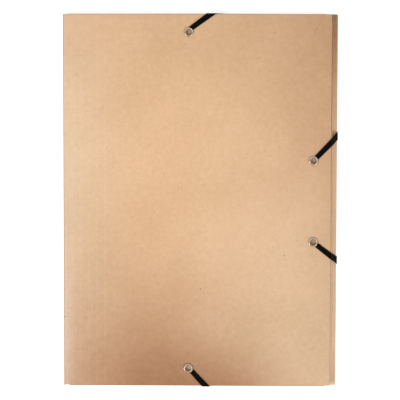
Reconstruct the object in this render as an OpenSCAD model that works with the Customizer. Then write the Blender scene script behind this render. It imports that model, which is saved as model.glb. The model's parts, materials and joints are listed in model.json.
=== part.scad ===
// Three-flap folder in kraft card, closed with two elastics.
// One die-cut card is folded into two covers, a spine, three gussets and three flaps.
// The folder lies closed on its front cover, spine towards -X, with the back cover and its eyelets up.
// All sizes are in millimetres. The origin is below the middle of the closed folder, where it rests.

/* [Covers] */
// Height of the covers and the spine
cover_h = 320; // [290:1:360]
// Width of the closed folder, from the spine to the front cover's free edge
folder_w = 235; // [215:1:280]
// How far the front cover reaches past the side fold
front_overhang = 5; // [2:0.5:10]
// Thickness of the card
card_t = 0.6; // [0.4:0.05:1]
// Radius of the front cover's free corners
cover_corner_r = 1; // [0.5:0.5:8]

/* [Folds] */
// Clear height for papers between the back cover and the flaps
paper_h = 5.6; // [5:0.2:20]
// Clearance between the flaps and the front cover
flap_gap = 0.4; // [0.2:0.1:1.5]
// Slack at each crease, between a panel's edge and the rounded fold beside it
crease_gap = 0.1; // [0.05:0.05:0.3]
// How far each gusset stops short of the corners of the back cover
gusset_end_gap = 5; // [4:0.5:12]

/* [Score lines] */
// Number of score lines on the back cover, where the card can be folded again for a wider spine
score_count = 5; // [1:1:7]
// Distance from the spine's fold to the first score line, and from each line to the next
score_pitch = 7; // [5:0.5:8]
// Width of each score line
score_w = 1; // [0.6:0.1:1.5]
// Depth of each score line, pressed into the outside of the card
score_depth = 0.12; // [0.06:0.02:0.2]

/* [Flaps] */
// Depth of the top and bottom flaps
end_flap_d = 70; // [40:1:85]
// Depth of the side flap
side_flap_d = 90; // [50:1:100]
// Slant of the flaps' ends, in degrees from square
flap_slant = 45; // [45:1:48]
// Radius of the flaps' free corners
flap_corner_r = 10; // [3:1:14]

/* [Eyelets] */
// Diameter of the hole through each eyelet
eyelet_bore_d = 4.6; // [3.5:0.1:5.5]
// Thickness of the sheet metal that the eyelets are rolled from
eyelet_wall = 0.3; // [0.2:0.05:0.4]
// Outer diameter of the domed flange on the outside of the back cover
eyelet_flange_d = 8; // [7:0.1:10]
// Outer diameter of the rolled rim on the inside of the back cover
eyelet_rim_d = 6.8; // [6.5:0.1:8]
// Clearance between an eyelet's barrel and its hole in the card
eyelet_play = 0.05; // [0.02:0.01:0.2]
// Distance of each eyelet from the fold beside it
eyelet_inset = 15.5; // [12:0.5:25]
// Distance of the top and bottom eyelets from the spine
eyelet_from_spine = 107.5; // [60:0.5:130]
// Distance between the two side eyelets
side_eyelet_pitch = 70; // [40:1:100]

/* [Elastics] */
// Width of the flat elastic
elastic_w = 5; // [4:0.5:6]
// Thickness of the elastic
elastic_t = 0.8; // [0.6:0.1:1.2]
// Thickness of the elastic's end, pressed flat under the eyelet
elastic_pressed_t = 0.35; // [0.2:0.05:0.5]
// Clearance between the elastic and what it lies on
elastic_gap = 0.05; // [0.02:0.01:0.1]
// How far along the top fold the upper elastic drifts from its eyelet
upper_end_drift = 19; // [5:0.5:25]
// How far along the side fold the upper elastic drifts from its eyelet
upper_side_drift = 16; // [5:0.5:25]
// How far along the bottom fold the lower elastic drifts from its eyelet
lower_end_drift = 14; // [5:0.5:25]
// How far along the side fold the lower elastic drifts from its eyelet
lower_side_drift = 11; // [5:0.5:25]

/* [Hidden] */
$fn = 48;

kraft_colour = "#DEB68D";
nickel_colour = "#C9CACB";
elastic_colour = "#24211F";

// A fold is as round as the card is thick, and its axis runs down the middle of the card
fold_r = card_t / 2;
// Distance from the outside of a fold to the edge of the panel beside it
panel_edge = card_t + crease_gap;

// Radius of the rounded rule that presses a score line
score_r = (score_w ^ 2 / 4 + score_depth ^ 2) / (2 * score_depth);

// Levels of the closed stack, from what it rests on
front_z = elastic_t + elastic_gap;
flap_z = front_z + card_t + flap_gap;
back_z = flap_z + card_t + paper_h;
top_z = back_z + card_t;

// Outsides of the folds in plan, with the elastics' reach past the free edge counted in
spine_x = -(folder_w + elastic_gap + elastic_t) / 2;
front_x = spine_x + folder_w;
side_x = front_x - front_overhang;
end_y = cover_h / 2;

// Lengths of the gussets and the places of their middles
gusset_end_l = side_x - spine_x - 2 * gusset_end_gap;
gusset_side_l = cover_h - 2 * gusset_end_gap;
gusset_end_x = (side_x + spine_x) / 2;

// Places of the eyelets in the upper half
eyelet_x = spine_x + eyelet_from_spine;
eyelet_y = end_y - eyelet_inset;
eyelet_side_x = side_x - eyelet_inset;
eyelet_side_y = side_eyelet_pitch / 2;
eyelet_places = [
    [eyelet_x, eyelet_y], [eyelet_x, -eyelet_y],
    [eyelet_side_x, eyelet_side_y], [eyelet_side_x, -eyelet_side_y]
];

// Radii and seat of the eyelets
bore_r = eyelet_bore_d / 2;
barrel_r = bore_r + eyelet_wall;
flange_r = eyelet_flange_d / 2;
rim_r = eyelet_rim_d / 2;
flange_z = top_z + elastic_pressed_t + 2 * elastic_gap;
// Length over which the pressed end of an elastic swells to its full thickness
press_run = 1;

// Corner rounding

function unit(v) = v / norm(v);

// Half of the angle at corner i of an outline
function half_angle(p, i) =
    let(n = len(p), back = unit(p[(i + n - 1) % n] - p[i]), on = unit(p[(i + 1) % n] - p[i]))
    acos(back * on) / 2;

// Where the round at corner i leaves the straight edges
function round_ends(p, r, i) =
    let(n = len(p), run = r[i] / tan(half_angle(p, i)))
    [for (k = [n - 1, 1]) p[i] + run * unit(p[(i + k) % n] - p[i])];

// Middle of the round at corner i
function round_middle(p, r, i) =
    let(ends = round_ends(p, r, i), inward = (ends[0] + ends[1]) / 2 - p[i])
    p[i] + unit(inward) * r[i] / sin(half_angle(p, i));

// A flat panel with true round corners, where r gives each corner's radius and 0 leaves it square
module panel(p, r, z) {
    corners = [for (i = [0 : len(p) - 1]) each r[i] > 0 ? round_ends(p, r, i) : [p[i]]];
    translate([0, 0, z])
        linear_extrude(card_t) {
            polygon(corners);
            for (i = [0 : len(p) - 1])
                if (r[i] > 0)
                    translate(round_middle(p, r, i))
                        circle(r[i]);
        }
}

// A narrow strip of card along X between two folds, hanging from the back cover's level
module folded_strip(length, low_z) {
    height = top_z - low_z;
    rotate([90, 0, 90])
        linear_extrude(length, center = true) {
            translate([-card_t, low_z + fold_r])
                square([card_t, height - card_t]);
            for (z = [low_z + fold_r, top_z - fold_r])
                translate([-fold_r, z])
                    circle(fold_r);
        }
}

// A flap along X with its fold at y = 0, reaching to -Y, with slanted ends and round free corners
module flap(length, depth) {
    base = length / 2;
    tip = base - (depth - panel_edge) * tan(flap_slant);
    outline = [[-base, -panel_edge], [-tip, -depth], [tip, -depth], [base, -panel_edge]];
    panel(outline, [0, flap_corner_r, flap_corner_r, 0], flap_z);
}

// Places what is made along the top fold at the top, side or bottom fold
module at_top() {
    translate([gusset_end_x, end_y, 0]) children();
}

module at_bottom() {
    mirror([0, 1, 0]) at_top() children();
}

module at_side() {
    translate([side_x, 0, 0]) rotate(-90) children();
}

// Covers and spine

module front_cover() {
    left = spine_x + panel_edge;
    outline = [[left, -end_y], [front_x, -end_y], [front_x, end_y], [left, end_y]];
    color(kraft_colour)
        panel(outline, [0, cover_corner_r, cover_corner_r, 0], front_z);
}

module spine() {
    color(kraft_colour)
        translate([spine_x, 0, 0])
            rotate(90)
                folded_strip(cover_h, front_z);
}

// The groove that one score line leaves, along Y at x = 0
module score_line() {
    translate([0, 0, top_z - score_depth + score_r])
        rotate([90, 0, 0])
            cylinder(r = score_r, h = 2 * cover_h, center = true);
}

module back_cover() {
    low = [spine_x + panel_edge, panel_edge - end_y];
    high = [side_x, end_y] - [panel_edge, panel_edge];
    color(kraft_colour)
        difference() {
            translate([low.x, low.y, back_z])
                cube([high.x - low.x, high.y - low.y, card_t]);
            for (place = eyelet_places)
                translate([place.x, place.y, back_z - card_t])
                    cylinder(r = barrel_r + eyelet_play, h = 3 * card_t);
            for (i = [1 : score_count])
                translate([spine_x + fold_r + i * score_pitch, 0, 0])
                    score_line();
        }
}

// Gussets and flaps

module top_gusset() {
    color(kraft_colour) at_top() folded_strip(gusset_end_l, flap_z);
}

module bottom_gusset() {
    color(kraft_colour) at_bottom() folded_strip(gusset_end_l, flap_z);
}

module side_gusset() {
    color(kraft_colour) at_side() folded_strip(gusset_side_l, flap_z);
}

module top_flap() {
    color(kraft_colour) at_top() flap(gusset_end_l, end_flap_d);
}

module bottom_flap() {
    color(kraft_colour) at_bottom() flap(gusset_end_l, end_flap_d);
}

module side_flap() {
    color(kraft_colour) at_side() flap(gusset_side_l, side_flap_d);
}

// Eyelets

// Half of a rolled edge in section, from the bore out to outer_r, open towards -Y
module rolled_edge(outer_r) {
    roll_r = (outer_r - bore_r) / 2;
    translate([bore_r + roll_r, 0])
        intersection() {
            difference() {
                circle(roll_r);
                circle(roll_r - eyelet_wall);
            }
            translate([-roll_r, 0])
                square(2 * roll_r);
        }
}

module eyelet(place) {
    color(nickel_colour)
        translate(place)
            rotate_extrude() {
                translate([0, flange_z])
                    rolled_edge(flange_r);
                translate([bore_r, back_z])
                    square([eyelet_wall, flange_z - back_z]);
                translate([0, back_z])
                    mirror([0, 1])
                        rolled_edge(rim_r);
            }
}

module eyelet_top() { eyelet(eyelet_places[0]); }

module eyelet_bottom() { eyelet(eyelet_places[1]); }

module eyelet_side_upper() { eyelet(eyelet_places[2]); }

module eyelet_side_lower() { eyelet(eyelet_places[3]); }

// Elastics
// An elastic is a row of cross-lines, each [middle, half its length as a vector, way out, thickness].
// At a fold the cross-lines run along the fold, so the elastic turns over it without a twist.

// Cross-lines that turn about an edge from angle a to b, where along is the edge's direction
function turn(at, along, out_x, edge_r, a, b) =
    [for (s = [0, 0.5, 1])
        let(angle = a + (b - a) * s, out = cos(angle) * out_x + sin(angle) * [0, 0, 1])
        [at + (edge_r + elastic_gap) * out, along, out, elastic_t]];

// Cross-lines from an eyelet at place out to where the elastic has its full thickness
function pressed_end(place, way, across) =
    [for (step = [
            [barrel_r + elastic_gap, elastic_pressed_t],
            [flange_r + elastic_gap, elastic_pressed_t],
            [flange_r + press_run, elastic_t]])
        let(at = place + step[0] * way)
        [[at.x, at.y, top_z + elastic_gap], elastic_w / 2 * [across.x, across.y, 0], [0, 0, 1], step[1]]];

function reversed(list) = [for (i = [len(list) - 1 : -1 : 0]) list[i]];

// The whole elastic in the upper half: top eyelet, top fold, front cover, free edge, side eyelet
function elastic_lines(end_drift, side_drift) =
    let(
        half = elastic_w / 2,
        end_way = unit([end_drift, eyelet_inset]),
        side_way = unit([eyelet_inset, side_drift]),
        // The elastic keeps its slope while it comes down the top gusset
        top_x = eyelet_x + end_drift,
        under_x = top_x + (top_z - front_z) * end_drift / eyelet_inset,
        // Seen from above it runs straight from the side eyelet to the free edge
        fold_y = eyelet_side_y + side_drift,
        free_y = eyelet_side_y + side_drift * (eyelet_inset + front_overhang) / eyelet_inset,
        under_way = unit([front_x - under_x, free_y - end_y]),
        // Slope of the stretch between the free edge and the side fold
        free_edge = [front_x, free_y, front_z + card_t],
        side_fold = [side_x - fold_r, fold_y, top_z - fold_r],
        rise = side_fold - free_edge,
        slope = atan2(rise.z, rise.x) - acos(-fold_r / norm([rise.x, rise.z])),
        top_half = [half / end_way.y, 0, 0],
        under_half = [half / abs(under_way.y), 0, 0],
        free_half = [0, half / under_way.x, 0],
        side_half = [0, half / side_way.x, 0],
        y_out = [0, 1, 0],
        x_out = [1, 0, 0]
    )
    concat(
        pressed_end([eyelet_x, eyelet_y], end_way, [end_way.y, -end_way.x]),
        turn([top_x, end_y - fold_r, top_z - fold_r], top_half, y_out, fold_r, 90, 0),
        turn([under_x, end_y, front_z], under_half, y_out, 0, 0, -90),
        turn([front_x, free_y, front_z], free_half, x_out, 0, -90, 0),
        turn(free_edge, free_half, x_out, 0, 0, slope),
        turn(side_fold, side_half, x_out, fold_r, slope, 90),
        reversed(pressed_end([eyelet_side_x, eyelet_side_y], side_way, [-side_way.y, side_way.x]))
    );

module elastic(end_drift, side_drift) {
    lines = elastic_lines(end_drift, side_drift);
    last = len(lines) - 1;
    points = [for (line = lines) each [
        line[0] - line[1],
        line[0] + line[1],
        line[0] + line[1] + line[3] * line[2],
        line[0] - line[1] + line[3] * line[2]
    ]];
    sides = [for (i = [0 : last - 1], k = [0 : 3])
        let(a = 4 * i + k, b = 4 * i + (k + 1) % 4)
        each [[a, b, b + 4], [a, b + 4, a + 4]]];
    ends = [[0, 2, 1], [0, 3, 2], [4 * last, 4 * last + 1, 4 * last + 2], [4 * last, 4 * last + 2, 4 * last + 3]];
    color(elastic_colour)
        polyhedron(points, concat(sides, ends));
}

module upper_elastic() {
    elastic(upper_end_drift, upper_side_drift);
}

module lower_elastic() {
    mirror([0, 1, 0]) elastic(lower_end_drift, lower_side_drift);
}

front_cover();
spine();
back_cover();
top_gusset();
bottom_gusset();
side_gusset();
top_flap();
bottom_flap();
side_flap();
eyelet_top();
eyelet_bottom();
eyelet_side_upper();
eyelet_side_lower();
upper_elastic();
lower_elastic();
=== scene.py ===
"""Three-flap folder: the looks of its kraft card, eyelets and elastics, built round the packed frame."""

import json
import math
from collections import namedtuple
from functools import partial

import bmesh
import bpy
from bpy.props import FloatProperty, FloatVectorProperty, IntProperty
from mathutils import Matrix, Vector


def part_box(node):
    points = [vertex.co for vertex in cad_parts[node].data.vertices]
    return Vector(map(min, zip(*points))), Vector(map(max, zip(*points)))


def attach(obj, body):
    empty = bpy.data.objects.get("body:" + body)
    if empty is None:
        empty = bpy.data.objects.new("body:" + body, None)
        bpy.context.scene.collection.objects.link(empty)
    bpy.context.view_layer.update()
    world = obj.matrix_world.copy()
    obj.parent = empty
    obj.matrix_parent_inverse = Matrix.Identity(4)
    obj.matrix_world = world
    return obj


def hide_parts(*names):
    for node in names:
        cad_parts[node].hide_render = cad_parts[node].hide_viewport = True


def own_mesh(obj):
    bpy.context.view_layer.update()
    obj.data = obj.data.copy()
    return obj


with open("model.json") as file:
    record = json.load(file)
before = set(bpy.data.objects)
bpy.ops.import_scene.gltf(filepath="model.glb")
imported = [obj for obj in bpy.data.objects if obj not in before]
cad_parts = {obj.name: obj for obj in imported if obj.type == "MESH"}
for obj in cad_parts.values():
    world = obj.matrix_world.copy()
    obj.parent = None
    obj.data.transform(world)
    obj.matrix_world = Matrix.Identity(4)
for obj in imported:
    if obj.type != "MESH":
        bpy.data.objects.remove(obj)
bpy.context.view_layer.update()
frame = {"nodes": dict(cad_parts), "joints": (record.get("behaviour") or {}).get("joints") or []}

bl_info = {
    "name": "Three-flap folder",
    "version": (1, 0, 0),
    "blender": (4, 5, 0),
    "location": "View3D > Sidebar > Folder",
    "description": "Builds a kraft card folder with folding flaps, eyelets and elastics",
    "category": "Add Mesh",
}

MM = 0.001
X, Y, Z = (Vector(axis) for axis in ((1, 0, 0), (0, 1, 0), (0, 0, 1)))

# Places that the frame gives: a point on each fold's axis, and each solid's lowest and highest corners
FOLD = {joint["name"]: Vector(joint["pos_m"]) for joint in frame["joints"]}
BOX = {node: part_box(node) for node in frame["nodes"]}
MIDDLE = {node: (low + high) / 2 for node, (low, high) in BOX.items()}
CARD_T = BOX["back_cover"][1].z - BOX["back_cover"][0].z

# The sides of the back cover: the way that each fold runs, and the way out
SIDES = {"top": (X, Y), "bottom": (X, -Y), "side": (Y, X)}
EYELETS = ("eyelet_top", "eyelet_bottom", "eyelet_side_upper", "eyelet_side_lower")

# Fineness of the meshes, half of the square that a hole is cut in, the least distance between two places,
# and the angle past which an edge stays sharp
CORNER_STEPS = 8
STRIP_STEPS = 16
BEAD_STEPS = 10
TURN_STEPS = 6
LATHE_STEPS = 64
ROLL_STEPS = 12
RIB_STEPS = 8
ELASTIC_STEP = 3 * MM
HOLE_CELL = 5 * MM
HAIR = 0.01 * MM
SHARP_ANGLE = math.radians(50)

# How the card gives. The back cover's bow leans to the spine, and dies out round each eyelet.
BOW_LEAN = 0.7
CALM_REACH = 28 * MM
# The side gusset's bulge rises and falls between these shares of its length, upward, and of its depth
BULGE_ALONG = ((0, 0.15), (0.45, 0.8))
BULGE_DOWN = ((0.1, 0.4), (0.5, 1))
# Each elastic presses this share of the bulge in, over this reach
PRESS_SHARE = 0.4
PRESS_REACH = 9 * MM
# Past a flange an elastic swells to its full thickness in this reach
SWELL_REACH = 1 * MM

# The floor's reach from its middle, and the places and widths of the two soft lamps, in metres
FLOOR_REACH = 20
KEY_AT, KEY_WIDTH = (-0.95, -0.6, 1.3), 0.7
FILL_AT, FILL_WIDTH = (1.0, -1.0, 1.0), 1.0

# Inputs of a Mix node that mixes colours
MIX_A, MIX_B = 6, 7
# Refraction of cellulose, for the card's fibres
CARD_IOR = 1.47

# A panel's axes, from the middle of its fold: along it, out from it, and outward from the folder
Face = namedtuple("Face", "origin along out outward")
# A line across an elastic: its middle, half of it as a vector, the way out of the card, and its thickness
CrossLine = namedtuple("CrossLine", "middle half out thick")
# A soft spot of painted light or painted shade: its middle and reach along x and y in millimetres, its
# strength and its colour
Spot = namedtuple("Spot", "middle reach strength shown")


def linear(code):
    """A hex sRGB colour as linear red, green and blue."""
    shares = [int(code[i : i + 2], 16) / 255 for i in (1, 3, 5)]
    return tuple(s / 12.92 if s <= 0.04045 else ((s + 0.055) / 1.055) ** 2.4 for s in shares)


def setting(name, description, default, kind=FloatProperty, **how):
    """A value that a user can change, a number unless another kind is given."""
    return kind(name=name, description=description, default=default, **how)


def length(name, description, size_mm):
    """A length that a user can change, with its default in millimetres."""
    return setting(name, description, size_mm * MM, unit="LENGTH", precision=5)


def colour(name, description, code):
    """A colour that a user can change, with its default as a hex sRGB value."""
    return setting(name, description, linear(code), FloatVectorProperty, subtype="COLOR", min=0, max=1)


class FolderCard(bpy.types.PropertyGroup):
    """The folded card."""

    bow: length("Cover bow", "How far the back cover bows out", 1.5)
    spine_bow: length("Spine bow", "How far the spine bows out", 0.2)
    gusset_bow: length("Gusset bow", "How far the top and bottom gussets bow out", 0.3)
    side_bulge: length("Side bulge", "How far the side gusset bulges out", 2.2)
    sag: length("Front sag", "How far the front cover bows in", 0.25)
    flap_lift: length("Flap lift", "How far each flap springs up from flat", 4.7)
    flap_spring: length("Flap spring", "Distance from its fold in which a flap springs up", 7)
    bead: length("Crease bead", "How far a pressed crease stands proud of the card", 0.02)
    scores: setting("Score lines", "Number of score lines beside the spine", 5, IntProperty)
    score_pitch: length("Score pitch", "Distance between score lines, and from the fold to the first", 7)
    score_width: length("Score width", "Width of a score line", 1)
    score_depth: length("Score depth", "Depth of a score line", 0.12)
    cover_corner: length("Cover corner", "Radius of the front cover's free corners", 1)
    flap_corner: length("Flap corner", "Radius of the flaps' free corners", 10)
    flap_slant: setting("Flap slant", "Slant of the flaps' ends", math.radians(45), unit="ROTATION")
    mesh_step: length("Mesh step", "Size of the card's mesh cells", 4)
    face: colour("Card", "The card's faces", "#E3BA90")
    # Painted shade: a darker card colour that stands in for shade
    painted_shade: colour("Toned card", "Card that handling has darkened", "#A47655")
    # Painted light: a greyer card colour for cool light at the lower right and for shade along the fold
    # edges
    painted_grey: colour("Rubbed card", "Card that sliding has rubbed grey", "#D2B89D")
    # Painted light: a paler card colour along the spine
    wear_and_sheen: colour("Worn card", "Card that rubbing has made paler", "#E5C4A3")
    # Painted sheen: a pale card colour by the spine's lower end
    painted_sheen: colour("Scuffed card", "Card that is scuffed along the spine", "#E3CFC1")
    # Pale fibres, also used as painted highlight on the score lines and painted light on the front cover's
    # edge
    fibre_and_painted_light: colour("Fibre", "Pale fibres in the card", "#F3DCBF")
    speck: colour("Speck", "Dark bark specks in the card", "#7A5538")
    core: colour("Cut edge", "The card's cut edges", "#E8CBA8")


class FolderEyelet(bpy.types.PropertyGroup):
    """The rolled metal eyelets."""

    bore: length("Bore", "Diameter of the hole through an eyelet", 4.6)
    wall: length("Wall", "Thickness of the rolled sheet metal", 0.3)
    roll: length("Roll", "Width of the flange outside its crown", 0.55)
    pressed_gap: length("Flange gap", "Gap between the flange's edge and the card, for the elastic", 0.45)
    rim: length("Rim", "Outer diameter of the rolled rim inside the cover", 6.8)
    hole: length("Hole", "Diameter of the hole in the card", 5.4)
    metal: colour("Metal", "Bright nickel plate", "#BFB0A3")
    # Painted shade: a darker metal colour for the eyelet's throat
    throat_shade: colour("Dull metal", "Thin, dull plate inside the eyelet", "#A89A8E")


class FolderElastic(bpy.types.PropertyGroup):
    """The flat elastics."""

    width: length("Width", "Width of the elastic", 5)
    end_width: length("End width", "Width of the elastic where an eyelet grips it", 4.4)
    thick: length("Thickness", "Thickness of the elastic", 0.8)
    edge_thick: length("Edge thickness", "Thickness of the elastic stretched over an edge", 0.5)
    pressed: length("Pressed thickness", "Thickness of the elastic under an eyelet", 0.35)
    gap: length("Gap", "Clearance between the elastic and the card", 0.05)
    upper_end_drift: length("Upper end drift", "Upper elastic's drift from eyelet to top fold", 19)
    upper_side_drift: length("Upper side drift", "Upper elastic's drift from eyelet to side fold", 16)
    lower_end_drift: length("Lower end drift", "Lower elastic's drift from eyelet to bottom fold", 15)
    lower_side_drift: length("Lower side drift", "Lower elastic's drift from eyelet to side fold", 12)
    upper_aside: length("Upper aside", "How far aside of its end eyelet the upper one is gripped", 1.4)
    lower_aside: length("Lower aside", "How far aside of its end eyelet the lower one is gripped", -0.5)
    ribs: setting("Ribs", "Rubber cores across the elastic", 6, IntProperty)
    yarn: colour("Yarn", "Black yarn round the rubber cores", "#0C0A09")


class FolderStage(bpy.types.PropertyGroup):
    """The floor, the light and the camera."""

    camera_at: setting(
        "Camera",
        "Place of the camera",
        (0.0182, 0.0913, 1.4),
        FloatVectorProperty,
        subtype="XYZ",
        unit="LENGTH",
    )
    camera_turn: setting(
        "Camera turn",
        "Turn of the camera from straight down",
        [math.radians(turn) for turn in (-3.708, 0.78, 0.117)],
        FloatVectorProperty,
        subtype="EULER",
    )
    lens: setting("Lens", "Focal length in millimetres", 146.26)
    floor: colour("Floor", "The pale floor", "#F7F6F4")
    floor_lift: setting("Floor lift", "Light that whitens the floor as it is seen", 0.6)
    surround: setting("Surround", "Strength of the even light all round", 0.6)
    key: setting("Key", "Power of the soft lamp at the left", 14.5, unit="POWER")
    fill: setting("Fill", "Power of the soft lamp in front", 11, unit="POWER")


def add_node(tree, kind, inputs=None, **settings):
    """Adds a node with its settings, and gives each input a value or a link.
    A link comes from an output, or from a node's first enabled output."""
    node = tree.nodes.new("ShaderNode" + kind)
    for name, value in settings.items():
        setattr(node, name, value)
    for key, value in (inputs or {}).items():
        if isinstance(value, bpy.types.Node):
            value = next(output for output in value.outputs if output.enabled)
        if isinstance(value, bpy.types.NodeSocket):
            tree.links.new(value, node.inputs[key])
        else:
            node.inputs[key].default_value = value
    return node


def new_material(name):
    """An empty material, and add_node for its own tree."""
    material = bpy.data.materials.new(name)
    material.use_nodes = True
    material.node_tree.nodes.clear()
    return material, partial(add_node, material.node_tree)


def kraft_card(name, card, spots):
    """Uncoated recycled kraft card, machine-made: matt and cloudy, with curled fibres, a few bark specks,
    and spots of painted light and shade on the faces that look up."""
    material, add = new_material(name)
    where = add("TexCoord").outputs
    place = where["Object"]
    outside = add("SeparateXYZ", {0: where["Normal"]}).outputs["Z"]

    shade = (*card.face, 1)
    # Spots of painted light and painted shade, on the faces that look up
    for spot in spots:
        x, y, reach_x, reach_y = (size * MM for size in (*spot.middle, *spot.reach))
        shares = add(
            "Mapping",
            {"Vector": place, "Location": (x, y, 0), "Scale": (reach_x, reach_y, 1)},
            vector_type="TEXTURE",
        )
        ball = add("TexGradient", {"Vector": shares}, gradient_type="SPHERICAL").outputs["Fac"]
        soft = add("MapRange", {"Value": ball, "To Max": spot.strength}, interpolation_type="SMOOTHSTEP")
        kept = add("Math", {0: soft, 1: outside}, operation="MULTIPLY", use_clamp=True)
        shade = add("Mix", {0: kept, MIX_A: shade, MIX_B: (*spot.shown, 1)}, data_type="RGBA")

    # The pulp settles in clouds some 5 mm across, over drifts of tone some 60 mm across
    clouds = add("TexNoise", {"Vector": place, "Scale": 1 / (5 * MM), "Detail": 3, "Roughness": 0.7})
    drifts = add("TexNoise", {"Vector": place, "Scale": 1 / (60 * MM), "Detail": 2})
    uneven = add("Math", {0: clouds, 1: drifts}, operation="ADD")
    level = add(
        "MapRange", {"Value": uneven, "From Min": 0.6, "From Max": 1.4, "To Min": 0.95, "To Max": 1.05}
    )
    # Thin places are greyer as well as darker, so all three colours shift by about as much
    grey = add("Math", {0: level, 1: 0.5, 2: -0.5}, operation="MULTIPLY_ADD")
    for change, blend in ((level, "MULTIPLY"), (grey, "ADD")):
        shade = add("Mix", {0: 1, MIX_A: shade, MIX_B: change}, data_type="RGBA", blend_type=blend)

    # Fibres are the level lines of a noise, broken into lengths of 2 or 3 mm by another.
    # They are drawn 0.15 mm wide, some five times the real width, so that they show.
    # They tint the card, so that they stand out no more where it is dark.
    strands = []
    for seed, shown, strength in ((1, card.fibre_and_painted_light, 0.2), (2, card.fibre_and_painted_light, 0.16), (5, card.speck, 0.16)):
        curl, breaks = (
            add(
                "TexNoise",
                {"Vector": place, "W": w, "Scale": 1 / size, "Detail": detail},
                noise_dimensions="4D",
            )
            for w, size, detail in ((seed, 5 * MM, 1), (seed + 20, 2.5 * MM, 0))
        )
        away = add("Math", {0: curl, 1: 0.5}, operation="SUBTRACT")
        line = add("Math", {0: away}, operation="ABSOLUTE")
        thin = add("MapRange", {"Value": line, "From Max": 0.016, "To Min": strength, "To Max": 0})
        kept = add("MapRange", {"Value": breaks, "From Min": 0.5, "From Max": 0.6})
        strand = add("Math", {0: thin, 1: kept}, operation="MULTIPLY")
        tint = [share / whole for share, whole in zip(shown, card.face)]
        shade = add(
            "Mix", {0: strand, MIX_A: shade, MIX_B: (*tint, 1)}, data_type="RGBA", blend_type="MULTIPLY"
        )
        strands.append(strand)

    # Bark specks, up to 1 mm across, lie in about one cell in twelve of a 9 mm scatter
    scatter = add("TexVoronoi", {"Vector": place, "Scale": 1 / (9 * MM)}).outputs
    chance = add("SeparateColor", {0: scatter["Color"]})
    size = add("MapRange", {"Value": chance, "From Min": 0.92, "To Min": 0, "To Max": 0.06})
    speck = add("Math", {0: scatter["Distance"], 1: size}, operation="LESS_THAN")
    faint = add("Math", {0: speck, 1: 0.75}, operation="MULTIPLY")
    shade = add("Mix", {0: faint, MIX_A: shade, MIX_B: (*card.speck, 1)}, data_type="RGBA")

    # The tooth of the surface, 0.4 mm across, with the first fibres standing on it
    tooth = add("TexNoise", {"Vector": place, "Scale": 1 / (0.4 * MM), "Detail": 2})
    raised = add("Math", {0: tooth, 1: strands[0]}, operation="ADD")
    bump = add("Bump", {"Strength": 0.4, "Distance": 0.03 * MM, "Height": raised})
    rough = add("MapRange", {"Value": clouds, "To Min": 0.8, "To Max": 0.95})
    shader = add(
        "BsdfPrincipled", {"Base Color": shade, "Roughness": rough, "IOR": CARD_IOR, "Normal": bump}
    )
    add("OutputMaterial", {"Surface": shader})
    return material


def plain_kraft(card):
    """The flaps: they lie inside, where the card keeps its even tone."""
    return kraft_card("uncoated_kraft_card", card, ())


def painted_light_kraft(card):
    """The back cover, the spine and the gussets: painted shade darkens the outside towards the bottom, the
    upper right and the free side, and painted light makes it greyer at the lower right and paler along the
    spine and the score lines."""
    spots = [
        # Greyer at the lower right: painted cool light
        Spot((100, -170), (180, 300), 0.5, card.painted_grey),
        # Darker along the bottom edge, most near its eyelet: painted shade
        Spot((-90, -170), (240, 145), 0.8, card.painted_shade),
        Spot((-10, -200), (130, 100), 1.5, card.painted_shade),
        # Darker at the upper right corner and the free side, and a little along the top: painted shade
        Spot((140, 170), (170, 260), 0.4, card.painted_shade),
        Spot((145, 40), (100, 520), 0.3, card.painted_shade),
        Spot((-20, 170), (330, 100), 0.15, card.painted_shade),
        # Paler along the spine: painted light; darker round its lower end: painted shade; a pale strip by
        # its lower end: painted sheen
        Spot((-170, -20), (130, 340), 1.7, card.wear_and_sheen),
        Spot((-110, -150), (230, 220), 0.35, card.painted_shade),
        Spot((-120, -110), (15, 115), 0.5, card.painted_sheen),
    ]
    # A pale painted highlight along each score line, fading towards the bottom
    score_highlight, score_highlight_y, score_highlight_reach = 0.1, 60, 400
    for k in range(card.scores):
        score_x = FOLD["back_spine_fold"].x + card.score_pitch * (k + 1)
        reach = (card.score_width / MM, score_highlight_reach)
        spots.append(Spot((score_x / MM, score_highlight_y), reach, score_highlight, card.fibre_and_painted_light))
    return kraft_card("painted_light_kraft_card", card, spots)


def front_painted_light_kraft(card):
    """The front cover: its free edge stands out past the back cover, with painted shadow at its ends and
    painted light between.
    """
    spots = (
        # Painted light along the free edge, painted shadow of the back cover at the top, painted shade at
        # the lower corner
        Spot((114.5, -90), (10, 330), 0.9, card.fibre_and_painted_light),
        Spot((114, 175), (13, 130), 0.85, card.painted_shade),
        Spot((117, -165), (14, 45), 0.35, card.painted_shade),
    )
    return kraft_card("front_painted_light_kraft_card", card, spots)


def cut_edge(card):
    """The die-cut edge of kraft card: torn pulp, paler and rougher than the pressed faces."""
    material, add = new_material("die_cut_card_edge")
    place = add("TexCoord").outputs["Object"]
    pulp = add("TexNoise", {"Vector": place, "Scale": 1 / (0.3 * MM), "Detail": 3})
    shade = add("Mix", {0: pulp, MIX_A: (*card.face, 1), MIX_B: (*card.core, 1)}, data_type="RGBA")
    bump = add("Bump", {"Strength": 0.5, "Distance": 0.05 * MM, "Height": pulp})
    shader = add("BsdfPrincipled", {"Base Color": shade, "Roughness": 0.95, "IOR": CARD_IOR, "Normal": bump})
    add("OutputMaterial", {"Surface": shader})
    return material


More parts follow.
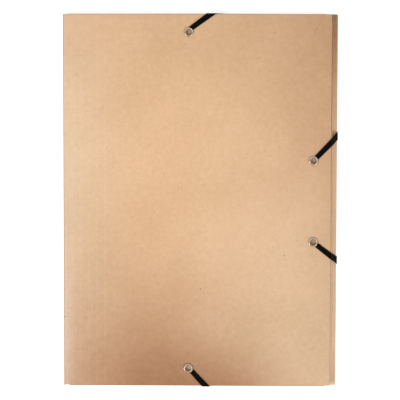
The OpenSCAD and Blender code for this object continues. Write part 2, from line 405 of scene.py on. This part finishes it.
def pressed_crease(name, card, shown, lower, upper):
    """Kraft card broken along a pressed crease: its fibres are crushed, so it is a little less matt.
    How far its painted colour is shown changes from the folder's lower end to its upper end."""
    material, add = new_material(name)
    where = add("TexCoord").outputs
    place = where["Object"]
    crushed = add("TexNoise", {"Vector": place, "Scale": 1 / (2 * MM), "Detail": 3})
    broken = add("MapRange", {"Value": crushed, "To Min": 0.5, "To Max": 1})
    low, high = (corner.y for corner in BOX["spine"])
    height = add("SeparateXYZ", {0: place}).outputs["Y"]
    change = add(
        "MapRange", {"Value": height, "From Min": low, "From Max": high, "To Min": lower, "To Max": upper}
    )
    share = add("Math", {0: broken, 1: change}, operation="MULTIPLY", use_clamp=True)
    shade = add("Mix", {0: share, MIX_A: (*card.face, 1), MIX_B: (*shown, 1)}, data_type="RGBA")
    # Inside the fold, where a face looks back to the folder's middle, painted shade darkens the card
    outward = add("VectorMath", {0: where["Normal"], 1: place}, operation="DOT_PRODUCT")
    fold_shade = add("MapRange", {"Value": outward, "From Max": -50 * MM, "To Max": 0.8})
    shade = add("Mix", {0: fold_shade, MIX_A: shade, MIX_B: (*card.painted_shade, 1)}, data_type="RGBA")
    bump = add("Bump", {"Strength": 0.3, "Distance": 0.03 * MM, "Height": crushed})
    shader = add("BsdfPrincipled", {"Base Color": shade, "Roughness": 0.7, "IOR": CARD_IOR, "Normal": bump})
    add("OutputMaterial", {"Surface": shader})
    return material


def edge_shade_crease(card):
    """The creases of the spine, the top and the bottom, greyed with painted edge shade."""
    return pressed_crease("painted_edge_shade_crease", card, card.painted_grey, 1, 1)


def shadow_crease(card):
    """The side gusset's creases, darkened with painted shade, most at its upper end."""
    return pressed_crease("painted_shadow_crease", card, card.painted_shade, 0.15, 2)


def nickel_plate(name, shown, smoothest, roughest):
    """Nickel-plated steel with fine handling marks, which change its roughness between two values."""
    material, add = new_material(name)
    place = add("TexCoord").outputs["Object"]
    marks = add("TexNoise", {"Vector": place, "Scale": 1 / (0.5 * MM), "Detail": 3, "Distortion": 1.5})
    # Where it is marked the plate is rougher and a little darker
    rough, wear_and_sheen = (
        add("MapRange", {"Value": marks, "From Min": 0.3, "From Max": 0.7, "To Min": low, "To Max": high})
        for low, high in ((smoothest, roughest), (1, 0.82))
    )
    shade = add("VectorMath", {0: tuple(shown), "Scale": wear_and_sheen}, operation="SCALE")
    bump = add("Bump", {"Strength": 0.2, "Distance": 0.02 * MM, "Height": marks})
    shader = add("BsdfPrincipled", {"Base Color": shade, "Metallic": 1, "Roughness": rough, "Normal": bump})
    add("OutputMaterial", {"Surface": shader})
    return material


def bright_nickel(eyelet):
    """The rolled flange and rim: barrel-plated bright nickel, a warm grey with soft highlights."""
    return nickel_plate("bright_nickel_plate", eyelet.metal, 0.1, 0.22)


def shaded_nickel(eyelet):
    """The throat of the eyelet: rougher plate, with a darker colour that is painted shade."""
    return nickel_plate("painted_shade_throat", eyelet.throat_shade, 0.35, 0.55)


def woven_elastic(elastic):
    """Black polyester yarn woven over rubber cores: matt ribs crossed by fine picks."""
    material, add = new_material("woven_black_elastic")
    run = add("Attribute", attribute_name="run").outputs["Vector"]
    # Picks cross the ribs every 0.6 mm
    picks = add(
        "TexWave",
        {"Vector": run, "Scale": math.tau / (20 * 0.6 * MM), "Distortion": 0.6, "Detail Scale": 1 / MM},
        bands_direction="X",
    ).outputs["Fac"]
    fluff = add("TexNoise", {"Vector": run, "Scale": 1 / (0.4 * MM), "Detail": 3})
    weave = add("Math", {0: picks, 1: fluff}, operation="ADD")
    level = add(
        "MapRange", {"Value": weave, "From Min": 0.4, "From Max": 1.5, "To Min": 0.45, "To Max": 1.4}
    )
    shade = add("VectorMath", {0: tuple(elastic.yarn), "Scale": level}, operation="SCALE")
    bump = add("Bump", {"Strength": 0.7, "Distance": 0.12 * MM, "Height": weave})
    # Loose yarn traps light between its filaments, so it has less gloss than solid polyester
    shader = add(
        "BsdfPrincipled",
        {"Base Color": shade, "Roughness": 0.8, "IOR": 1.45, "Specular IOR Level": 0.06, "Normal": bump},
    )
    add("OutputMaterial", {"Surface": shader})
    return material


def shared_material(make, properties):
    """The material that this function makes, made once and then shared."""
    key = "made_by_" + make.__name__
    scene = bpy.context.scene
    if key not in scene:
        scene[key] = make(properties).name
    return bpy.data.materials[scene[key]]


def at(face, along, out, outward):
    """A point on a panel, from its own axes."""
    return face.origin + along * face.along + out * face.out + outward * face.outward


def face_of(node, fold, along, out, outward):
    """The axes of a panel at its fold, from the middle of the panel's own length."""
    origin = FOLD[fold] + along * (MIDDLE[node] - FOLD[fold]).dot(along)
    return Face(origin, along, out, outward)


def reach_of(node, face):
    """Half of a solid's length along its fold, and how far out its crease and its far edge lie."""
    size = BOX[node][1] - BOX[node][0]
    far = max((corner - face.origin).dot(face.out) for corner in BOX[node])
    return abs(size.dot(face.along)) / 2, CARD_T / 2, far


def spread(low, high, step, stops=()):
    """Places from low to high, at most a step apart, that meet each stop."""
    marks = sorted({low, high, *stops})
    places = [low]
    for a, b in zip(marks, marks[1:]):
        count = math.ceil((b - a) / step)
        places += [a + (b - a) * k / count for k in range(1, count + 1)]
    return places


def tapered_rows(near, far, half, slant, corner, step):
    """Rows across a panel with slanted ends and round free corners: pairs of distance out and half width."""
    turn_out = far - corner
    turn_half = half - (turn_out - near) * math.tan(slant) - corner / math.cos(slant)
    straight = spread(near, turn_out + corner * math.sin(slant), step)
    rows = [(out, half - (out - near) * math.tan(slant)) for out in straight]
    for k in range(1, CORNER_STEPS + 1):
        angle = slant + (math.pi / 2 - slant) * k / CORNER_STEPS
        rows.append((turn_out + corner * math.sin(angle), turn_half + corner * math.cos(angle)))
    return rows


def card_panel(name, face, rows, columns, rise, holes=()):
    """A sheet of card: rows as tapered_rows gives them, columns from -1 to 1 across each row, and rise, a
    function of how far along and out a point is. A hole is its middle along and out, and its radius."""
    bm = bmesh.new()
    sheet = {}
    spots = {
        (i, j): (share * half, out)
        for i, (out, half) in enumerate(rows)
        for j, share in enumerate(columns)
    }

    def add(key, along, out):
        for side in (1, -1):
            height = rise(along, out) + side * CARD_T / 2
            sheet[side, key] = bm.verts.new(at(face, along, out, height))

    def within(along, out, hole, slack):
        reach = HOLE_CELL + slack
        return abs(along - hole[0]) < reach and abs(out - hole[1]) < reach

    def join_sides(path):
        for a, b in zip(path, path[1:] + path[:1]):
            bm.faces.new([sheet[1, a], sheet[1, b], sheet[-1, b], sheet[-1, a]]).material_index = 1

    for key, (along, out) in spots.items():
        if not any(within(along, out, hole, -HAIR) for hole in holes):
            add(key, along, out)
    last_row, last_column = len(rows) - 1, len(columns) - 1
    for i in range(last_row):
        for j in range(last_column):
            cell = [(i, j), (i, j + 1), (i + 1, j + 1), (i + 1, j)]
            middle = [sum(spots[key][axis] for key in cell) / 4 for axis in (0, 1)]
            if not any(within(*middle, hole, 0) for hole in holes):
                for side in (1, -1):
                    bm.faces.new([sheet[side, key] for key in cell])
    across, down = range(last_column), range(last_row)
    join_sides(
        [(0, j) for j in across]
        + [(i, last_column) for i in down]
        + [(last_row, last_column - j) for j in across]
        + [(last_row - i, 0) for i in down]
    )

    # Each hole is a ring of points inside the edge of the square that is left out for it
    for number, hole in enumerate(holes):
        square = [
            key
            for key, spot in spots.items()
            if within(*spot, hole, HAIR) and not within(*spot, hole, -HAIR)
        ]
        angle_of = {key: math.atan2(spots[key][1] - hole[1], spots[key][0] - hole[0]) for key in square}
        square.sort(key=angle_of.get)
        ring = [("hole", number, key) for key in square]
        for key, edge in zip(square, ring):
            angle = angle_of[key]
            add(edge, hole[0] + hole[2] * math.cos(angle), hole[1] + hole[2] * math.sin(angle))
        for k in range(len(square)):
            m = (k + 1) % len(square)
            for side in (1, -1):
                bm.faces.new([sheet[side, key] for key in (square[k], square[m], ring[m], ring[k])])
        join_sides(ring)
    return mesh_from(bm, name)


def mesh_from(bm, name):
    """A finished mesh, its faces turned outward and its shallow edges smooth."""
    bmesh.ops.recalc_face_normals(bm, faces=bm.faces)
    mesh = bpy.data.meshes.new(name)
    bm.to_mesh(mesh)
    bm.free()
    mesh.shade_smooth()
    mesh.set_sharp_from_angle(angle=SHARP_ANGLE)
    return mesh


def skin(name, loops, marked=(), wrap=False):
    """A closed mesh through loops of points, with flat ends unless it wraps round to its start.
    Faces that start at a marked place in the loops take the second material."""
    bm = bmesh.new()
    rings = [[bm.verts.new(point) for point in loop] for loop in loops]
    count = len(rings[0])
    for a, b in zip(rings, rings[1:] + rings[:1] if wrap else rings[1:]):
        for k in range(count):
            m = (k + 1) % count
            bm.faces.new([a[k], a[m], b[m], b[k]]).material_index = int(k in marked)
    if not wrap:
        bm.faces.new(rings[0])
        bm.faces.new(rings[-1])
    return mesh_from(bm, name)


def smooth(low, high, value):
    """A soft step from 0 at low to 1 at high."""
    share = min(1, max(0, (value - low) / (high - low)))
    return share * share * (3 - 2 * share)


def folded_strip(name, card, face, half, width, rise):
    """A narrow strip of card between two folds, with a round bead along each.
    It stands out by rise, a function of the shares of its length and its depth."""
    bead_r = CARD_T / 2 + card.bead
    start = math.pi - math.asin(CARD_T / 2 / bead_r)
    inset = bead_r * math.cos(math.pi - start)
    turns = [start - 2 * start * k / BEAD_STEPS for k in range(1, BEAD_STEPS)]
    flat = spread(inset, width - inset, (width - 2 * inset) / STRIP_STEPS)

    def height(out, along):
        return rise((along / half + 1) / 2, out / width)

    loops = []
    for along in spread(-half, half, card.mesh_step):
        upper = [(out, height(out, along) + CARD_T / 2) for out in flat]
        far_bead = [(width + bead_r * math.cos(a), bead_r * math.sin(a)) for a in turns]
        lower = [(out, height(out, along) - CARD_T / 2) for out in reversed(flat)]
        near_bead = [(-bead_r * math.cos(a), bead_r * math.sin(a)) for a in reversed(turns)]
        loops.append([at(face, along, *point) for point in upper + far_bead + lower + near_bead])
    side = len(flat)
    bead = len(turns)
    beads = {*range(side - 1, side + bead), *range(2 * side + bead - 1, 2 * (side + bead))}
    return skin(name, loops, beads)


def place_piece(mesh, body, slot, node, properties, *makers):
    """Puts a mesh on its body in place of its plain solid, with the materials that makers make."""
    if not mesh.polygons:
        raise RuntimeError(f"{mesh.name} came out with no faces")
    piece = bpy.data.objects.new(mesh.name, mesh)
    bpy.context.scene.collection.objects.link(piece)
    for make in makers:
        mesh.materials.append(shared_material(make, properties))
    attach(piece, body)
    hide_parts(node)
    return piece


class FOLDER_OT_front_cover(bpy.types.Operator):
    """Makes the front cover, a sheet with round free corners."""

    bl_idname = "folder.front_cover"
    bl_label = "Front cover"

    def execute(self, context):
        card = context.scene.folder_card
        face = face_of("front_cover", "front_spine_fold", Y, X, -Z)
        half, near, far = reach_of("front_cover", face)

        def rise(along, out):
            share = (out - near) / (far - near)
            return -card.sag * math.sin(math.pi * share) * math.cos(math.pi / 2 * along / half)

        rows = tapered_rows(near, far, half, 0, card.cover_corner, card.mesh_step)
        columns = [along / half for along in spread(-half, half, card.mesh_step)]
        mesh = card_panel("front_cover_sheet", face, rows, columns, rise)
        place_piece(mesh, "front_cover", "kraft_card", "front_cover", card, front_painted_light_kraft, cut_edge)
        return {"FINISHED"}


class FOLDER_OT_back_cover(bpy.types.Operator):
    """Makes the back cover, a gently bowed sheet with a hole for each eyelet, scored beside the spine."""

    bl_idname = "folder.back_cover"
    bl_label = "Back cover"

    def execute(self, context):
        card = context.scene.folder_card
        face = face_of("back_cover", "back_spine_fold", Y, X, Z)
        near = CARD_T / 2
        half = FOLD["top_gusset_fold"].y - near
        far = FOLD["side_gusset_fold"].x - FOLD["back_spine_fold"].x - near
        hole_r = context.scene.folder_eyelet.hole / 2
        from_fold = [MIDDLE[node] - face.origin for node in EYELETS]
        spots = [(away.dot(Y), away.dot(X)) for away in from_fold]
        scores = [card.score_pitch * (k + 1) for k in range(card.scores)]
        score_half = card.score_width / 2

        def rise(along, out):
            share = (out - near) / (far - near)
            arch = math.sin(math.pi * share**BOW_LEAN) * math.cos(math.pi / 2 * along / half)
            for spot in spots:
                arch *= 1 - math.exp(-((math.dist(spot, (along, out)) / CALM_REACH) ** 2))
            away = min((abs(out - score) for score in scores), default=score_half)
            return card.bow * arch - card.score_depth * (1 - smooth(0, score_half, away))

        stops = [[spot[axis] + s * HOLE_CELL for spot in spots for s in (-1, 1)] for axis in (0, 1)]
        stops[1] += [score + s * score_half for score in scores for s in (-1, -0.5, 0, 0.5, 1)]
        alongs = spread(-half, half, card.mesh_step, stops[0])
        outs = spread(near, far, card.mesh_step, stops[1])
        mesh = card_panel(
            "back_cover_sheet",
            face,
            [(out, half) for out in outs],
            [along / half for along in alongs],
            rise,
            [(*spot, hole_r) for spot in spots],
        )
        piece = place_piece(mesh, "back_cover", "kraft_card", "back_cover", card, painted_light_kraft, cut_edge)
        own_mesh(piece)
        return {"FINISHED"}


class FOLDER_OT_spine(bpy.types.Operator):
    """Makes the spine, a strip bowed out between its two folds."""

    bl_idname = "folder.spine"
    bl_label = "Spine"

    def execute(self, context):
        card = context.scene.folder_card
        face = face_of("spine", "front_spine_fold", Y, Z, -X)
        half = reach_of("spine", face)[0]
        width = FOLD["back_spine_fold"].z - FOLD["front_spine_fold"].z

        def rise(along, down):
            return card.spine_bow * math.sin(math.pi * along) * math.sin(math.pi * down)

        mesh = folded_strip("spine_strip", card, face, half, width, rise)
        piece = place_piece(mesh, "spine", "kraft_card", "spine", card, painted_light_kraft, edge_shade_crease)
        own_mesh(piece)
        return {"FINISHED"}


class FOLDER_OT_gussets(bpy.types.Operator):
    """Makes the three gussets, the strips between the back cover and its flaps."""

    bl_idname = "folder.gussets"
    bl_label = "Gussets"

    def execute(self, context):
        card, elastic = context.scene.folder_card, context.scene.folder_elastic
        pressed = (
            MIDDLE["eyelet_side_upper"].y + elastic.upper_side_drift,
            MIDDLE["eyelet_side_lower"].y - elastic.lower_side_drift,
        )
        for side, (along, outward) in SIDES.items():
            node = f"{side}_gusset"
            face = face_of(node, f"{side}_gusset_fold", along, -Z, outward)
            half = reach_of(node, face)[0]
            width = FOLD[f"{side}_gusset_fold"].z - FOLD[f"{side}_flap_fold"].z

            def rise(along, down):
                if side != "side":
                    return card.gusset_bow * math.sin(math.pi * along) * math.sin(math.pi * down)
                # The side bulges, most in its lower half, and the elastics press it in
                rises, falls = BULGE_ALONG
                bulge = card.side_bulge * smooth(*rises, along) * (1 - smooth(*falls, along))
                for place in pressed:
                    away = ((along * 2 - 1) * half - place) / PRESS_REACH
                    bulge *= 1 - PRESS_SHARE * math.exp(-away**2)
                rises, falls = BULGE_DOWN
                return bulge * smooth(*rises, down) * (1 - smooth(*falls, down))

            mesh = folded_strip(f"{node}_strip", card, face, half, width, rise)
            make_crease = shadow_crease if side == "side" else edge_shade_crease
            piece = place_piece(mesh, node, "kraft_card", node, card, painted_light_kraft, make_crease)
            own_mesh(piece)
        return {"FINISHED"}


class FOLDER_OT_flaps(bpy.types.Operator):
    """Makes the three flaps, with slanted ends and round corners, which spring up a little."""

    bl_idname = "folder.flaps"
    bl_label = "Flaps"

    def execute(self, context):
        card = context.scene.folder_card
        for side, (along, outward) in SIDES.items():
            node = f"{side}_flap"
            face = face_of(node, f"{side}_flap_fold", along, -outward, -Z)
            half, near, far = reach_of(node, face)

            def rise(along, out):
                return -card.flap_lift * (1 - math.exp((near - out) / card.flap_spring))

            rows = tapered_rows(near, far, half, card.flap_slant, card.flap_corner, card.mesh_step)
            columns = [along / half for along in spread(-half, half, card.mesh_step)]
            mesh = card_panel(f"{node}_sheet", face, rows, columns, rise)
            piece = place_piece(mesh, node, "kraft_card", node, card, plain_kraft, cut_edge)
            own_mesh(piece)
        return {"FINISHED"}


def quarter_oval(middle_r, middle_z, reach_r, reach_z, start):
    """A quarter of an oval in an eyelet's section, clockwise from a start in quarter turns."""
    angles = [math.pi / 2 * (start - k / ROLL_STEPS) for k in range(ROLL_STEPS + 1)]
    return [(middle_r + reach_r * math.cos(a), middle_z + reach_z * math.sin(a)) for a in angles]


class FOLDER_OT_eyelets(bpy.types.Operator):
    """Makes the four eyelets, each turned from one section of rolled sheet metal."""

    bl_idname = "folder.eyelets"
    bl_label = "Eyelets"

    def execute(self, context):
        eyelet = context.scene.folder_eyelet
        bore_r, wall = eyelet.bore / 2, eyelet.wall
        card_top = BOX["back_cover"][1].z
        turns = [math.tau * k / LATHE_STEPS for k in range(LATHE_STEPS)]
        for node in EYELETS:
            low, high = BOX[node]
            flange_r = (high.x - low.x) / 2
            flange_z = card_top + eyelet.pressed_gap
            crown_r = flange_r - eyelet.roll
            crown_h, throat_h = high.z - flange_z, high.z - card_top
            rim_r = (eyelet.rim / 2 + bore_r) / 2
            rim_roll = eyelet.rim / 2 - rim_r
            rim_z = low.z + rim_roll
            # The throat curves in from the flange's crown to the bore
            throat = quarter_oval(crown_r, card_top, crown_r - bore_r, throat_h, 2)
            section = (
                throat
                + quarter_oval(crown_r, flange_z, eyelet.roll, crown_h, 1)[1:]
                + quarter_oval(crown_r, flange_z, eyelet.roll - wall, crown_h - wall, 1)[::-1]
                + quarter_oval(crown_r, card_top, crown_r - bore_r - wall, throat_h - wall, 2)[-2::-1]
                + quarter_oval(rim_r, rim_z, rim_roll - wall, rim_roll - wall, 3)[::-1]
                + quarter_oval(rim_r, rim_z, rim_roll - wall, rim_roll - wall, 4)[-2::-1]
                + quarter_oval(rim_r, rim_z, rim_roll, rim_roll, 4)
                + quarter_oval(rim_r, rim_z, rim_roll, rim_roll, 3)[1:]
            )
            middle = Vector((MIDDLE[node].x, MIDDLE[node].y, 0))
            loops = []
            for a in turns:
                way = Vector((math.cos(a), math.sin(a), 0))
                loops.append([middle + r * way + z * Z for r, z in section])
            # The throat takes the darker colour of painted shade
            throat_shade = {*range(len(throat) - 2), len(section) - 1}
            mesh = skin(f"{node}_ring", loops, throat_shade, wrap=True)
            place_piece(mesh, "back_cover", "nickel_plated_eyelet", node, eyelet, bright_nickel, shaded_nickel)
        return {"FINISHED"}


def turn_over(centre, half, away, slide, edge_r, start, end, elastic):
    """Cross-lines that turn about an edge, from one angle to another, and slide along it as they move away.
    The elastic is stretched thinnest where it faces sideways."""
    lines = []
    for k in range(TURN_STEPS + 1):
        angle = start + (end - start) * k / TURN_STEPS
        out = math.cos(angle) * away + math.sin(angle) * Z
        thick = elastic.edge_thick + (elastic.thick - elastic.edge_thick) * abs(math.sin(angle))
        reach = (edge_r + elastic.gap) * out
        lines.append(CrossLine(centre + reach + reach.dot(away) * slide, half, out, thick))
    return lines


def elastic_lines(elastic, end_drift, side_drift, aside):
    """Cross-lines of the upper elastic: end eyelet, top fold, under the cover, free edge, side eyelet.
    It is gripped a little aside of the end eyelet."""
    end_eyelet, side_eyelet = MIDDLE["eyelet_top"], MIDDLE["eyelet_side_upper"]
    fold_r = CARD_T / 2 + bpy.context.scene.folder_card.bead
    top, side = FOLD["top_gusset_fold"], FOLD["side_gusset_fold"]
    end_y, side_x, top_z = top.y + CARD_T / 2, side.x + CARD_T / 2, top.z + CARD_T / 2
    front_low, front_high = BOX["front_cover"]
    flange_r = (BOX["eyelet_top"][1].x - BOX["eyelet_top"][0].x) / 2
    barrel_r = bpy.context.scene.folder_eyelet.hole / 2

    def pressed_end(start, way):
        foot = Vector((start.x, start.y, top_z + elastic.gap))
        half = Vector((way.y, -way.x, 0)) * elastic.end_width / 2
        swell_r = flange_r + SWELL_REACH
        steps = ((barrel_r, elastic.pressed), (flange_r, elastic.pressed), (swell_r, elastic.thick))
        return [CrossLine(foot + r * way, half, Z, thick) for r, thick in steps]

    inset_y, inset_x = end_y - end_eyelet.y, side_x - side_eyelet.x
    end_start = end_eyelet + aside * Vector((-inset_y, end_drift, 0)).normalized()
    end_way = Vector((end_eyelet.x + end_drift - end_start.x, end_y - end_start.y, 0)).normalized()
    side_way = Vector((inset_x, side_drift, 0)).normalized()
    # It keeps its slope while it comes down the top gusset
    end_slope, side_slope = end_way.x / end_way.y, side_drift / inset_x
    top_x = end_start.x + (top.y - end_start.y) * end_slope
    top_fold = Vector((top_x, top.y, top.z))
    under_x = end_eyelet.x + end_drift + (top_z - front_low.z) * end_slope
    # Seen from above it runs straight from the side eyelet to the free edge
    fold_y = side_eyelet.y + (side.x - side_eyelet.x) * side_slope
    free_y = side_eyelet.y + (front_high.x - side_eyelet.x) * side_slope
    under_way = Vector((front_high.x - under_x, free_y - end_y, 0)).normalized()
    under_edge = Vector((under_x, end_y, front_low.z))
    free_under = Vector((front_high.x, free_y, front_low.z))
    free_edge = Vector((front_high.x, free_y, front_high.z))
    side_fold = Vector((side.x, fold_y, side.z))
    rise = side_fold - free_edge
    slope = math.atan2(rise.z, rise.x) - math.acos(-fold_r / math.hypot(rise.x, rise.z))
    half = elastic.width / 2
    # It widens evenly from the side eyelet to the free edge
    share = inset_x / (front_high.x - side_eyelet.x)
    side_half = (elastic.end_width + (elastic.width - elastic.end_width) * share) / 2
    quarter = math.pi / 2
    slide_x, slide_y = X * end_slope, Y * side_slope
    return (
        pressed_end(end_start, end_way)
        + turn_over(top_fold, X * half / end_way.y, Y, slide_x, fold_r, quarter, 0, elastic)
        + turn_over(under_edge, X * half / -under_way.y, Y, slide_x, 0, 0, -quarter, elastic)
        + turn_over(free_under, Y * half / under_way.x, X, slide_y, 0, -quarter, 0, elastic)
        + turn_over(free_edge, Y * half / side_way.x, X, slide_y, 0, 0, slope, elastic)
        + turn_over(side_fold, Y * side_half / side_way.x, X, slide_y, fold_r, slope, quarter, elastic)
        + [line._replace(half=-line.half) for line in reversed(pressed_end(side_eyelet, side_way))]
    )


def close_lines(lines, step):
    """The same cross-lines with more between them, at most a step apart."""
    close = [lines[0]]
    for a, b in zip(lines, lines[1:]):
        count = max(1, math.ceil((b.middle - a.middle).length / step))
        for k in range(1, count + 1):
            share = k / count
            middle, half = a.middle.lerp(b.middle, share), a.half.lerp(b.half, share)
            out = a.out.lerp(b.out, share).normalized()
            close.append(CrossLine(middle, half, out, a.thick + (b.thick - a.thick) * share))
    return close


def ribbed_section(ribs):
    """The elastic's section, as shares of its half width and its thickness: ribs on top, soft edges."""
    soft, valley, steps = 0.12, 0.22, RIB_STEPS * ribs
    shares = [2 * k / steps - 1 for k in range(steps + 1)]
    upper, lower = [], []
    for share in shares:
        into = max(0, (abs(share) - 1 + soft) / soft)
        full = math.sqrt(1 - into**2) / 2
        rib = 1 - valley * (0.5 + 0.5 * math.cos(math.pi * ribs * (share + 1)))
        upper.append((share, 0.5 + full * rib))
        lower.append((share, 0.5 - full))
    return upper + lower[-2:0:-1]


class FOLDER_OT_elastics(bpy.types.Operator):
    """Makes the two elastics, each held by an end eyelet and a side eyelet round the folder's corner."""

    bl_idname = "folder.elastics"
    bl_label = "Elastics"

    def execute(self, context):
        elastic, eyelet = context.scene.folder_elastic, context.scene.folder_eyelet
        section = ribbed_section(elastic.ribs)
        for name, mirror in (("upper", 1), ("lower", -1)):
            route = [getattr(elastic, f"{name}_{part}") for part in ("end_drift", "side_drift", "aside")]
            lines = close_lines(elastic_lines(elastic, *route), ELASTIC_STEP)
            loops, runs, run = [], [], 0
            for k, line in enumerate(lines):
                run += (line.middle - lines[max(0, k - 1)].middle).length
                loop = [line.middle + s * line.half + t * line.thick * line.out for s, t in section]
                loops.append([Vector((p.x, mirror * p.y, p.z)) for p in loop])
                runs += [(run, s * elastic.width / 2, 0) for s, t in section]
            mesh = skin(f"{name}_elastic_band", loops)
            # How far along and across the elastic each point lies, for the weave
            attribute = mesh.attributes.new("run", "FLOAT_VECTOR", "POINT")
            attribute.data.foreach_set("vector", [number for point in runs for number in point])
            body = f"{name}_elastic"
            piece = place_piece(mesh, body, "black_elastic", body, elastic, woven_elastic)
            # Turned over and slack, its ends lie midway between the card and the flanges that grip them
            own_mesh(piece)
        return {"FINISHED"}


def soft_lamp(name, place, power, width):
    """A square soft lamp that points at the folder."""
    light = bpy.data.lights.new(name, "AREA")
    light.energy = power
    light.size = width
    lamp = bpy.data.objects.new(name, light)
    lamp.location = place
    lamp.rotation_mode = "QUATERNION"
    lamp.rotation_quaternion = (-Vector(place)).to_track_quat("-Z", "Y")
    bpy.context.scene.collection.objects.link(lamp)


def seen_directly(add):
    """1 for rays from the camera, a mirror or glass, and 0 for the rays that light things."""
    path = add("LightPath").outputs
    seen = path["Is Camera Ray"]
    for kind in ("Is Glossy Ray", "Is Transmission Ray"):
        seen = add("Math", {0: seen, 1: path[kind]}, operation="MAXIMUM")
    return seen


class FOLDER_OT_stage(bpy.types.Operator):
    """Makes the pale floor, the soft light and the camera."""

    bl_idname = "folder.stage"
    bl_label = "Stage"

    def execute(self, context):
        scene = context.scene
        stage = scene.folder_stage
        scene.view_settings.view_transform = "Standard"

        bm = bmesh.new()
        bmesh.ops.create_grid(bm, x_segments=1, y_segments=1, size=FLOOR_REACH)
        mesh = mesh_from(bm, "studio_floor")
        floor = bpy.data.objects.new("studio_floor", mesh)
        scene.collection.objects.link(floor)
        # A matt floor, lifted to white where it is seen, that keeps the folder's shadow
        material, add = new_material("white_studio_floor")
        matt = add("BsdfDiffuse", {"Color": (*stage.floor, 1)})
        lift = add("Math", {0: seen_directly(add), 1: stage.floor_lift}, operation="MULTIPLY")
        glow = add("Emission", {"Strength": lift})
        shader = add("AddShader", {0: matt, 1: glow})
        add("OutputMaterial", {"Surface": shader})
        mesh.materials.append(material)

        world = bpy.data.worlds.new("studio_surround")
        world.use_nodes = True
        world.node_tree.nodes.clear()
        add = partial(add_node, world.node_tree)
        even = add("Background", {"Strength": stage.surround})
        white = add("Background", {"Color": (1, 1, 1, 1)})
        mixed = add("MixShader", {0: seen_directly(add), 1: even, 2: white})
        add("OutputWorld", {"Surface": mixed})
        scene.world = world

        soft_lamp("key_lamp", KEY_AT, stage.key, KEY_WIDTH)
        soft_lamp("fill_lamp", FILL_AT, stage.fill, FILL_WIDTH)

        camera = bpy.data.objects.new("camera", bpy.data.cameras.new("camera"))
        camera.location = stage.camera_at
        camera.rotation_euler = stage.camera_turn
        camera.data.lens = stage.lens
        scene.collection.objects.link(camera)
        scene.camera = camera
        return {"FINISHED"}


class FOLDER_PT_sidebar(bpy.types.Panel):
    """The folder's sizes, colours and pieces in the sidebar."""

    bl_idname = "FOLDER_PT_sidebar"
    bl_label = "Three-flap folder"
    bl_space_type = "VIEW_3D"
    bl_region_type = "UI"
    bl_category = "Folder"

    def draw(self, context):
        for pointer, group in GROUPS.items():
            box = self.layout.box()
            box.label(text=group.__doc__)
            for name in group.__annotations__:
                box.prop(getattr(context.scene, pointer), name)
        for operator in OPERATORS:
            self.layout.operator(operator.bl_idname)


GROUPS = {
    "folder_card": FolderCard,
    "folder_eyelet": FolderEyelet,
    "folder_elastic": FolderElastic,
    "folder_stage": FolderStage,
}
OPERATORS = (
    FOLDER_OT_stage,
    FOLDER_OT_front_cover,
    FOLDER_OT_back_cover,
    FOLDER_OT_spine,
    FOLDER_OT_gussets,
    FOLDER_OT_flaps,
    FOLDER_OT_eyelets,
    FOLDER_OT_elastics,
)
CLASSES = (*GROUPS.values(), *OPERATORS, FOLDER_PT_sidebar)


def register():
    """Makes the classes known, and gives the scene its sizes and colours."""
    for cls in CLASSES:
        bpy.utils.register_class(cls)
    for pointer, group in GROUPS.items():
        setattr(bpy.types.Scene, pointer, bpy.props.PointerProperty(type=group))


def unregister():
    """Undoes register."""
    for pointer in GROUPS:
        delattr(bpy.types.Scene, pointer)
    for cls in reversed(CLASSES):
        bpy.utils.unregister_class(cls)


def main():
    register()
    for operator in OPERATORS:
        group, name = operator.bl_idname.split(".")
        getattr(getattr(bpy.ops, group), name)()


if __name__ == "__main__":
    main()
